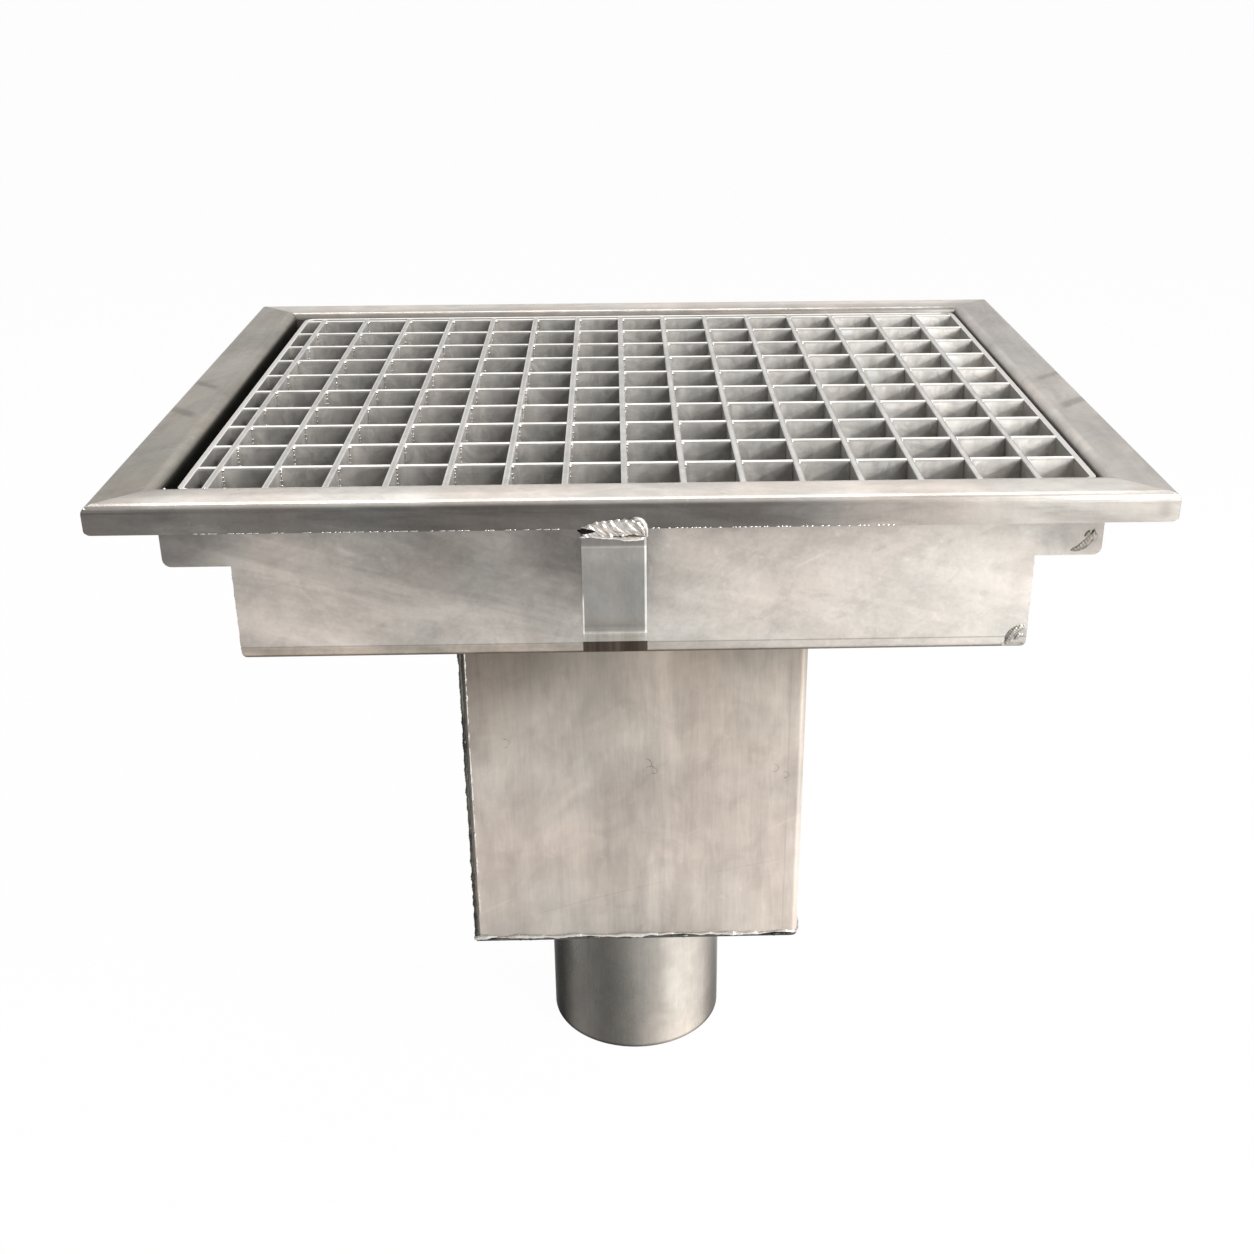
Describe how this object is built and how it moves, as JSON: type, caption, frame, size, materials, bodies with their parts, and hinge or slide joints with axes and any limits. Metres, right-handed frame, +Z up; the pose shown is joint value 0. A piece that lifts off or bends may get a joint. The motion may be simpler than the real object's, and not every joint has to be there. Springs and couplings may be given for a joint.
{
  "type": "floor drain",
  "caption": "Stainless-steel floor drain: rectangular rim with an egg-crate grate, shallow tray, deep square sump with a strainer basket and bell trap, round bottom outlet.",
  "frame": {"origin": "centre of the outlet pipe's lower end, which is the middle of the part's lowest level", "axes": "+Z up; -Y is the front, with the anchor that the picture shows; +X is to the right seen from the front, along the long side of the rim"},
  "size_m": [0.5, 0.4158, 0.432],
  "materials": {
    "tray_steel": "warm satin sheet steel with fine scratches and soft blotches",
    "sump_steel": "warm satin sheet steel with faint upright streaks",
    "pipe_steel": "satin drawn tube",
    "anchor_steel": "mill-finished flat bar, greyer than the sheet",
    "grate_steel": "satin flat bar with bright tack welds at the crossings",
    "basket_steel": "satin perforated sheet",
    "wire_steel": "drawn bright wire",
    "bell_steel": "satin pressed sheet"
  },
  "bodies": {
    "drain": {"tray_pan": "tray_steel", "tray_side_left": "tray_steel", "tray_side_right": "tray_steel", "sump_sleeve": "sump_steel", "sump_floor": "sump_steel", "outlet_pipe": "pipe_steel", "standpipe": "pipe_steel", "anchor_front": "anchor_steel", "anchor_back": "anchor_steel", "grate_band": "grate_steel", "grate_cross_bar_01": "grate_steel", "grate_cross_bar_02": "grate_steel", "grate_cross_bar_03": "grate_steel", "grate_cross_bar_04": "grate_steel", "grate_cross_bar_05": "grate_steel", "grate_cross_bar_06": "grate_steel", "grate_cross_bar_07": "grate_steel", "grate_cross_bar_08": "grate_steel", "grate_cross_bar_09": "grate_steel", "grate_cross_bar_10": "grate_steel", "grate_cross_bar_11": "grate_steel", "grate_cross_bar_12": "grate_steel", "grate_cross_bar_13": "grate_steel", "grate_cross_bar_14": "grate_steel", "grate_cross_bar_15": "grate_steel", "grate_bearing_bar_01": "grate_steel", "grate_bearing_bar_02": "grate_steel", "grate_bearing_bar_03": "grate_steel", "grate_bearing_bar_04": "grate_steel", "grate_bearing_bar_05": "grate_steel", "grate_bearing_bar_06": "grate_steel", "grate_bearing_bar_07": "grate_steel", "grate_bearing_bar_08": "grate_steel", "grate_bearing_bar_09": "grate_steel", "grate_bearing_bar_10": "grate_steel", "basket_wall": "basket_steel", "basket_floor": "basket_steel", "basket_flange": "basket_steel", "basket_ear_left": "basket_steel", "basket_ear_right": "basket_steel", "basket_rail_left": "basket_steel", "basket_rail_right": "basket_steel", "bell_handle": "wire_steel", "bell_cap": "bell_steel", "bell_foot_1": "bell_steel", "bell_foot_2": "bell_steel", "bell_foot_3": "bell_steel"},
    "bail": {"basket_bail": "wire_steel"}
  },
  "joints": [
    {"name": "bail_hinge", "type": "hinge", "parent": "drain", "child": "bail", "pos_m": [0, 0, 0.3048], "axis": [-1, 0, 0], "range_deg": [0, 180]}
  ]
}
